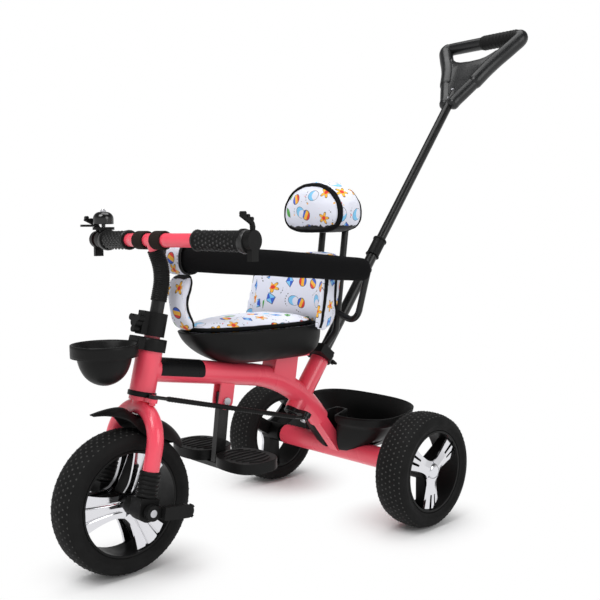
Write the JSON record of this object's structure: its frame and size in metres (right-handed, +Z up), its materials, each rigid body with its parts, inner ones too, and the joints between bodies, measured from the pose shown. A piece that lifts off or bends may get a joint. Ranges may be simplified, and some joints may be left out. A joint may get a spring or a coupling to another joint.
{
  "type": "toddler push along trike",
  "caption": "Pink steel toddler push trike with printed seat cushions, padded guard ring, headrest, baskets, fold-back footrest and a parent push rod that steers the front wheel.",
  "frame": {"origin": "middle of the bounding box on the floor, between the wheels", "axes": "+X forward towards the front wheel, +Y to the rider's left, +Z up"},
  "size_m": [1.1174, 0.474, 0.9844],
  "materials": {
    "frame_paint": "gloss coral pink paint",
    "black_paint": "satin black paint",
    "black_plastic": "satin black moulded plastic",
    "basket_plastic": "gloss black moulded plastic",
    "steel": "plain zinc plated",
    "cover_chrome": "bright chromed plastic",
    "tyre_foam": "matte foam tread",
    "grip_rubber": "soft matte rubber",
    "print_cloth": "white printed cloth with black piping",
    "black_cloth": "matte black cloth over foam"
  },
  "bodies": {
    "frame": {"frame": "frame_paint", "head_bushes": "black_plastic", "front_basket": "basket_plastic", "rear_axle": "steel", "axle_bushes": "black_plastic", "axle_nuts": "steel", "seat_pan": "black_plastic", "seat_cushion": "print_cloth", "back_cushion": "print_cloth", "crotch_pad": "print_cloth", "back_frame": "black_paint", "guard_pad": "black_cloth", "headrest": "print_cloth", "rear_clamp": "black_plastic", "rear_basket": "basket_plastic", "footrest_bolt": "steel"},
    "steering": {"fork": "frame_paint", "fork_boots": "grip_rubber", "fork_feet": "black_plastic", "mudguard": "black_plastic", "stem_clamp": "black_plastic"},
    "handlebar": {"stem_tube": "black_paint", "stem_sleeve": "grip_rubber", "handlebar": "frame_paint", "center_foam": "grip_rubber", "left_grip": "grip_rubber", "right_grip": "grip_rubber", "left_horn": "black_plastic", "right_horn": "black_plastic", "bell_base": "black_plastic", "bell_dome": "black_plastic"},
    "stem_knob": {"stem_knob": "black_plastic"},
    "bell_lever": {"bell_lever": "black_plastic"},
    "front_wheel": {"front_tyre": "tyre_foam", "front_rim": "black_plastic", "front_cover_left": "cover_chrome", "front_cover_right": "cover_chrome", "crank_axle": "steel", "left_crank": "black_plastic", "right_crank": "black_plastic"},
    "left_pedal": {"left_pedal": "black_plastic"},
    "right_pedal": {"right_pedal": "black_plastic"},
    "rear_left_wheel": {"rear_left_tyre": "tyre_foam", "rear_left_rim": "black_plastic", "rear_left_cover": "cover_chrome"},
    "rear_right_wheel": {"rear_right_tyre": "tyre_foam", "rear_right_rim": "black_plastic", "rear_right_cover": "cover_chrome"},
    "push_rod": {"push_tube": "black_paint", "push_collar": "black_plastic", "steer_lever": "black_paint", "lever_pin": "steel"},
    "push_handle": {"push_stem": "black_paint", "push_handle": "black_plastic"},
    "link_rod": {"link_rod": "black_paint"},
    "footrest": {"footrest_post": "black_paint", "left_footplate": "black_plastic", "right_footplate": "black_plastic"},
    "rear_clamp_screw": {"rear_clamp_screw": "black_plastic"}
  },
  "joints": [
    {"name": "steering_turn", "type": "hinge", "parent": "frame", "child": "steering", "pos_m": [0.4029, 0, 0.28468], "axis": [-0.2334, 0, 0.9724], "range_deg": [-22, 22]},
    {"name": "handlebar_height", "type": "slide", "parent": "steering", "child": "handlebar", "axis": [-0.2334, 0, 0.9724], "range_m": [0, 0.02]},
    {"name": "stem_knob_turn", "type": "hinge", "parent": "steering", "child": "stem_knob", "pos_m": [0.40492, 0, 0.39623], "axis": [0.9724, 0, 0.2334], "range_deg": [0, 360]},
    {"name": "bell_lever_flick", "type": "hinge", "parent": "handlebar", "child": "bell_lever", "pos_m": [0.36995, -0.18999, 0.5473], "axis": [0, 0, 1], "range_deg": [0, 24], "stiffness_Nm_per_rad": 0.05},
    {"name": "front_wheel_spin", "type": "hinge", "parent": "steering", "child": "front_wheel", "pos_m": [0.44364, 0, 0.115], "axis": [0, 1, 0], "continuous": true},
    {"name": "left_pedal_spin", "type": "hinge", "parent": "front_wheel", "child": "left_pedal", "pos_m": [0.3862, 0.1, 0.10693], "axis": [0, 1, 0], "continuous": true},
    {"name": "right_pedal_spin", "type": "hinge", "parent": "front_wheel", "child": "right_pedal", "pos_m": [0.50108, -0.1, 0.12307], "axis": [0, 1, 0], "continuous": true},
    {"name": "rear_left_wheel_spin", "type": "hinge", "parent": "frame", "child": "rear_left_wheel", "pos_m": [-0.05836, 0.204, 0.1045], "axis": [0, 1, 0], "continuous": true},
    {"name": "rear_right_wheel_spin", "type": "hinge", "parent": "frame", "child": "rear_right_wheel", "pos_m": [-0.05836, -0.204, 0.1045], "axis": [0, 1, 0], "continuous": true},
    {"name": "push_rod_turn", "type": "hinge", "parent": "frame", "child": "push_rod", "pos_m": [0.05192, 0, 0.22576], "axis": [-0.6157, 0, 0.788], "range_deg": [-22, 22]},
    {"name": "push_handle_height", "type": "slide", "parent": "push_rod", "child": "push_handle", "axis": [-0.6157, 0, 0.788], "range_m": [-0.15, 0]},
    {"name": "link_rod_swing", "type": "hinge", "parent": "steering", "child": "link_rod", "pos_m": [0.40407, 0.033, 0.27982], "axis": [-0.2332, 0.0444, 0.9714], "range_deg": [-22, 22]},
    {"name": "footrest_fold", "type": "hinge", "parent": "frame", "child": "footrest", "pos_m": [0.24066, 0, 0.24506], "axis": [0, 1, 0], "range_deg": [0, 30]},
    {"name": "rear_clamp_screw_turn", "type": "hinge", "parent": "frame", "child": "rear_clamp_screw", "pos_m": [-0.02328, 0, 0.28629], "axis": [-0.788, 0, -0.6157], "range_deg": [0, 360]}
  ],
  "couplings": [
    {"joint": "push_rod_turn", "follows": "steering_turn", "ratio": 1},
    {"joint": "link_rod_swing", "follows": "steering_turn", "ratio": -1}
  ]
}
